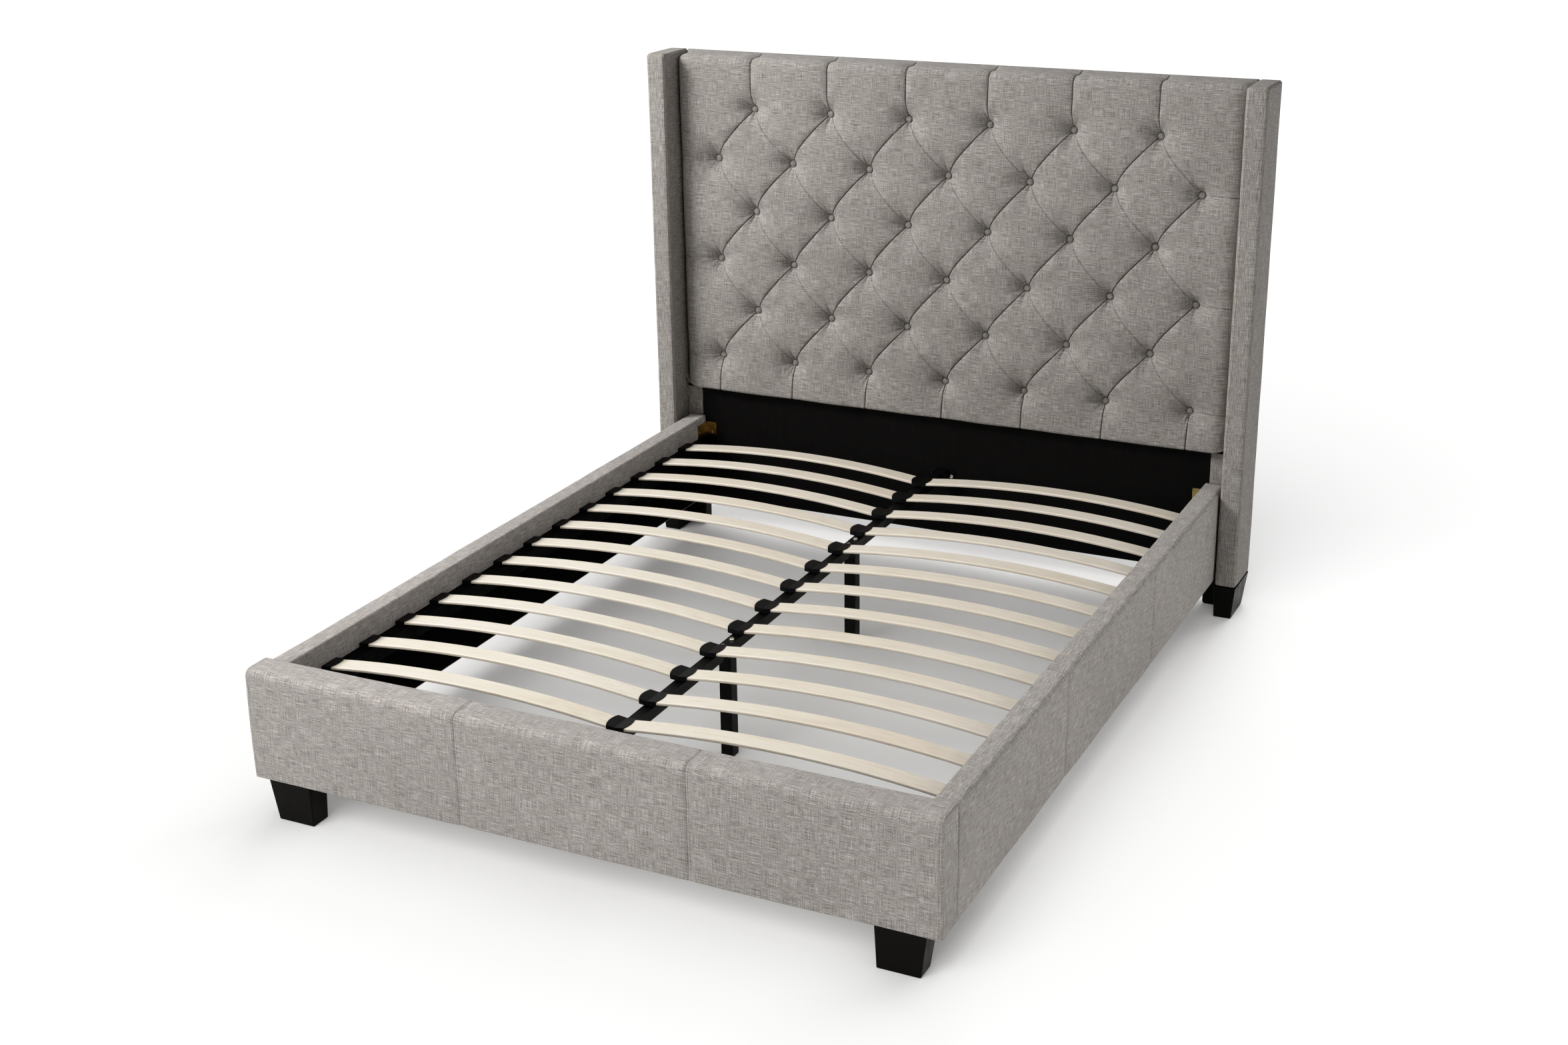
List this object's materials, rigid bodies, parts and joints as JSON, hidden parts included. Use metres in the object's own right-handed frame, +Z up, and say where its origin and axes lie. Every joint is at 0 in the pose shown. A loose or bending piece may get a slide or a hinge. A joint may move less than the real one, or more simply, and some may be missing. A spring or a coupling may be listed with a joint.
{
  "type": "upholstered bed frame",
  "caption": "Upholstered wingback bed frame: diamond-tufted headboard, padded rails and footboard, sprung slats on a legged centre rail.",
  "frame": {"origin": "middle of the bed's footprint, on the floor", "axes": "+Z up, +Y from the footboard towards the headboard, +X to the right for someone standing at the footboard and facing the headboard"},
  "size_m": [1.816, 2.19, 1.471],
  "materials": {
    "linen": "light greige linen-look upholstery with a slubby plain weave",
    "black_wood": "black satin stained wood",
    "frame_board": "raw engineered board, hidden under the padding",
    "black_batten": "black painted batten, matt",
    "black_panel": "matt black faced board",
    "dust_cloth": "thin black non-woven dust cloth, stapled",
    "yellow_zinc": "yellow-passivated zinc-plated steel",
    "black_steel": "black powder-coated steel, satin",
    "dark_fastener": "dark oxide steel fasteners",
    "black_plastic": "black moulded plastic",
    "birch_ply": "pale bent birch plywood, clear sealed, plies showing on the edges"
  },
  "bodies": {
    "root": {"centre_bracket_foot": "black_steel", "centre_bracket_head": "black_steel", "centre_bracket_screws": "dark_fastener", "centre_caps": "black_plastic", "centre_rail": "black_steel", "corner_bracket_bolts": "yellow_zinc", "corner_bracket_foot_left": "yellow_zinc", "corner_bracket_foot_right": "yellow_zinc", "corner_bracket_head_left": "yellow_zinc", "corner_bracket_head_right": "yellow_zinc", "footboard_core": "frame_board", "footboard_cover": "linen", "front_foot_left": "black_wood", "front_foot_right": "black_wood", "headboard_back_cover": "dust_cloth", "headboard_buttons": "linen", "headboard_core": "frame_board", "headboard_pad": "linen", "headboard_post_left": "black_wood", "headboard_post_right": "black_wood", "ledge_screws": "dark_fastener", "lower_panel": "black_panel", "post_cover_left": "linen", "post_cover_right": "linen", "rear_foot_left": "black_wood", "rear_foot_right": "black_wood", "side_caps_left": "black_plastic", "side_caps_right": "black_plastic", "side_rail_core_left": "frame_board", "side_rail_core_right": "frame_board", "side_rail_cover_left": "linen", "side_rail_cover_right": "linen", "side_rail_lining_left": "dust_cloth", "side_rail_lining_right": "dust_cloth", "slat_ledge_left": "black_batten", "slat_ledge_right": "black_batten", "slat_row_01": "birch_ply", "slat_row_02": "birch_ply", "slat_row_03": "birch_ply", "slat_row_04": "birch_ply", "slat_row_05": "birch_ply", "slat_row_06": "birch_ply", "slat_row_07": "birch_ply", "slat_row_08": "birch_ply", "slat_row_09": "birch_ply", "slat_row_10": "birch_ply", "slat_row_11": "birch_ply", "slat_row_12": "birch_ply", "slat_row_13": "birch_ply", "support_leg_bolts": "dark_fastener", "support_leg_cap_foot": "black_plastic", "support_leg_cap_head": "black_plastic", "support_leg_foot": "black_steel", "support_leg_head": "black_steel", "support_leg_nuts": "dark_fastener", "wing_core_left": "frame_board", "wing_core_right": "frame_board", "wing_cover_left": "linen", "wing_cover_right": "linen"}
  },
  "joints": []
}
